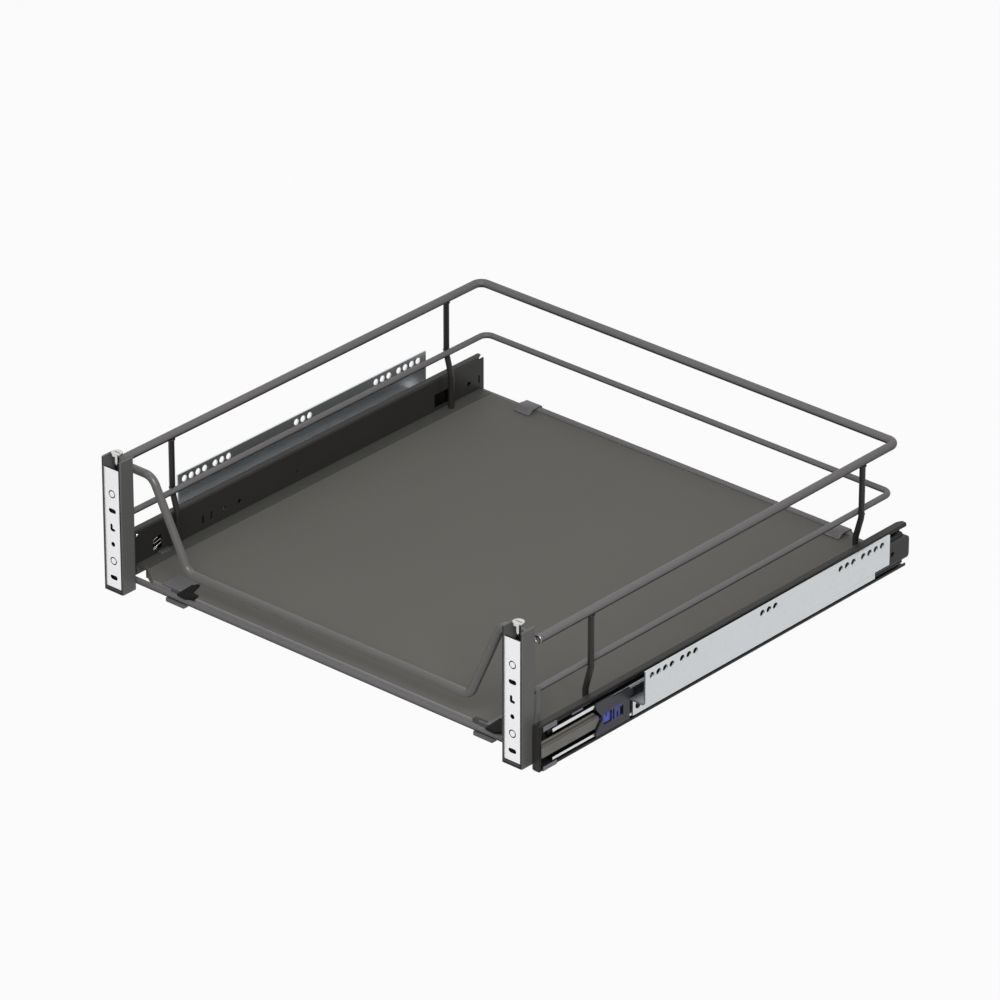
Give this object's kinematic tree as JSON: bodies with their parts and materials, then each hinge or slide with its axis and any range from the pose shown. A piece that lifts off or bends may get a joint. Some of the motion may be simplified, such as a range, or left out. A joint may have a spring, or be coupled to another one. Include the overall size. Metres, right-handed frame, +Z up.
{
  "type": "telescopic pull-out drawer",
  "caption": "Telescopic pull-out drawer with rail sides on full-extension ball-bearing slides, soft-closing units, galvanised wall brackets and height-adjustable front panel carriers",
  "frame": {"origin": "on the plane that the side profiles stand on, below the middle of the closed unit's box", "axes": "+X across the drawer to the right seen from the front, +Y from the front to the rear, +Z up; the drawer opens towards -Y"},
  "size_m": [0.564, 0.5242, 0.1438],
  "materials": {
    "galvanised_steel": "galvanised sheet",
    "slide_black": "black electrophoretic coat",
    "damper_black": "moulded acetal",
    "bright_steel": "polished hardened steel",
    "catch_blue": "moulded acetal",
    "profile_grey": "powder coat, anthracite",
    "striker_grey": "moulded, matt",
    "rail_grey": "powder coat, anthracite",
    "post_grey": "powder coat, anthracite",
    "carrier_zinc": "zinc plated",
    "board_grey": "melamine-faced board, anthracite",
    "clip_grey": "powder coated spring steel"
  },
  "bodies": {
    "root": {"wall_bracket_left": "galvanised_steel", "cabinet_member_left": "slide_black", "bracket_rivets_left": "galvanised_steel", "damper_housing_left": "damper_black", "damper_cylinder_left": "bright_steel", "wall_bracket_right": "galvanised_steel", "cabinet_member_right": "slide_black", "bracket_rivets_right": "galvanised_steel", "damper_housing_right": "damper_black", "damper_cylinder_right": "bright_steel"},
    "drawer": {"side_profile_left": "profile_grey", "raceway_stops_left": "bright_steel", "striker_plate_left": "striker_grey", "floor_ledge_left": "rail_grey", "post_left": "post_grey", "gusset_left": "post_grey", "screw_block_left": "galvanised_steel", "side_profile_right": "profile_grey", "raceway_stops_right": "bright_steel", "striker_plate_right": "striker_grey", "floor_ledge_right": "rail_grey", "post_right": "post_grey", "gusset_right": "post_grey", "screw_block_right": "galvanised_steel", "top_rail": "rail_grey", "lower_rail": "rail_grey", "front_rail": "rail_grey", "upright_front_left": "rail_grey", "upright_front_right": "rail_grey", "upright_rear_left": "rail_grey", "upright_rear_right": "rail_grey", "floor_board": "board_grey", "front_crossbar": "rail_grey", "rear_crossbar": "rail_grey", "floor_clip_front_left": "clip_grey", "floor_clip_front_right": "clip_grey", "floor_clip_rear_left": "clip_grey", "floor_clip_rear_right": "clip_grey"},
    "middle_left": {"middle_member_left": "galvanised_steel"},
    "inner_cage_left": {"inner_cage_left": "galvanised_steel", "inner_balls_left": "bright_steel"},
    "outer_cage_left": {"outer_cage_left": "galvanised_steel", "outer_balls_left": "bright_steel"},
    "catch_left": {"damper_catch_left": "catch_blue", "damper_rod_left": "bright_steel"},
    "carrier_left": {"panel_carrier_left": "carrier_zinc"},
    "screw_left": {"adjusting_screw_left": "bright_steel"},
    "middle_right": {"middle_member_right": "galvanised_steel"},
    "inner_cage_right": {"inner_cage_right": "galvanised_steel", "inner_balls_right": "bright_steel"},
    "outer_cage_right": {"outer_cage_right": "galvanised_steel", "outer_balls_right": "bright_steel"},
    "catch_right": {"damper_catch_right": "catch_blue", "damper_rod_right": "bright_steel"},
    "carrier_right": {"panel_carrier_right": "carrier_zinc"},
    "screw_right": {"adjusting_screw_right": "bright_steel"}
  },
  "joints": [
    {"name": "drawer_slide", "type": "slide", "parent": "root", "child": "drawer", "axis": [0, -1, 0], "range_m": [0, 0.45]},
    {"name": "middle_left_slide", "type": "slide", "parent": "root", "child": "middle_left", "axis": [0, -1, 0], "range_m": [0, 0.225]},
    {"name": "inner_cage_left_slide", "type": "slide", "parent": "root", "child": "inner_cage_left", "axis": [0, -1, 0], "range_m": [0, 0.1125]},
    {"name": "outer_cage_left_slide", "type": "slide", "parent": "root", "child": "outer_cage_left", "axis": [0, -1, 0], "range_m": [0, 0.3375]},
    {"name": "catch_left_slide", "type": "slide", "parent": "root", "child": "catch_left", "axis": [0, 1, 0], "range_m": [0, 0.015]},
    {"name": "carrier_left_lift", "type": "slide", "parent": "drawer", "child": "carrier_left", "axis": [0, 0, 1], "range_m": [-0.002, 0.002]},
    {"name": "screw_left_turn", "type": "hinge", "parent": "carrier_left", "child": "screw_left", "pos_m": [-0.2395, -0.25305, 0.12], "axis": [0, 0, 1], "range_deg": [-900, 900]},
    {"name": "middle_right_slide", "type": "slide", "parent": "root", "child": "middle_right", "axis": [0, -1, 0], "range_m": [0, 0.225]},
    {"name": "inner_cage_right_slide", "type": "slide", "parent": "root", "child": "inner_cage_right", "axis": [0, -1, 0], "range_m": [0, 0.1125]},
    {"name": "outer_cage_right_slide", "type": "slide", "parent": "root", "child": "outer_cage_right", "axis": [0, -1, 0], "range_m": [0, 0.3375]},
    {"name": "catch_right_slide", "type": "slide", "parent": "root", "child": "catch_right", "axis": [0, 1, 0], "range_m": [0, 0.015]},
    {"name": "carrier_right_lift", "type": "slide", "parent": "drawer", "child": "carrier_right", "axis": [0, 0, 1], "range_m": [-0.002, 0.002]},
    {"name": "screw_right_turn", "type": "hinge", "parent": "carrier_right", "child": "screw_right", "pos_m": [0.2395, -0.25305, 0.12], "axis": [0, 0, 1], "range_deg": [-900, 900]}
  ],
  "couplings": [
    {"joint": "middle_left_slide", "follows": "drawer_slide", "ratio": 0.5},
    {"joint": "inner_cage_left_slide", "follows": "drawer_slide", "ratio": 0.25},
    {"joint": "outer_cage_left_slide", "follows": "drawer_slide", "ratio": 0.75},
    {"joint": "screw_left_turn", "follows": "carrier_left_lift", "rad_per_m": 7853.9},
    {"joint": "middle_right_slide", "follows": "drawer_slide", "ratio": 0.5},
    {"joint": "inner_cage_right_slide", "follows": "drawer_slide", "ratio": 0.25},
    {"joint": "outer_cage_right_slide", "follows": "drawer_slide", "ratio": 0.75},
    {"joint": "screw_right_turn", "follows": "carrier_right_lift", "rad_per_m": 7853.9}
  ]
}
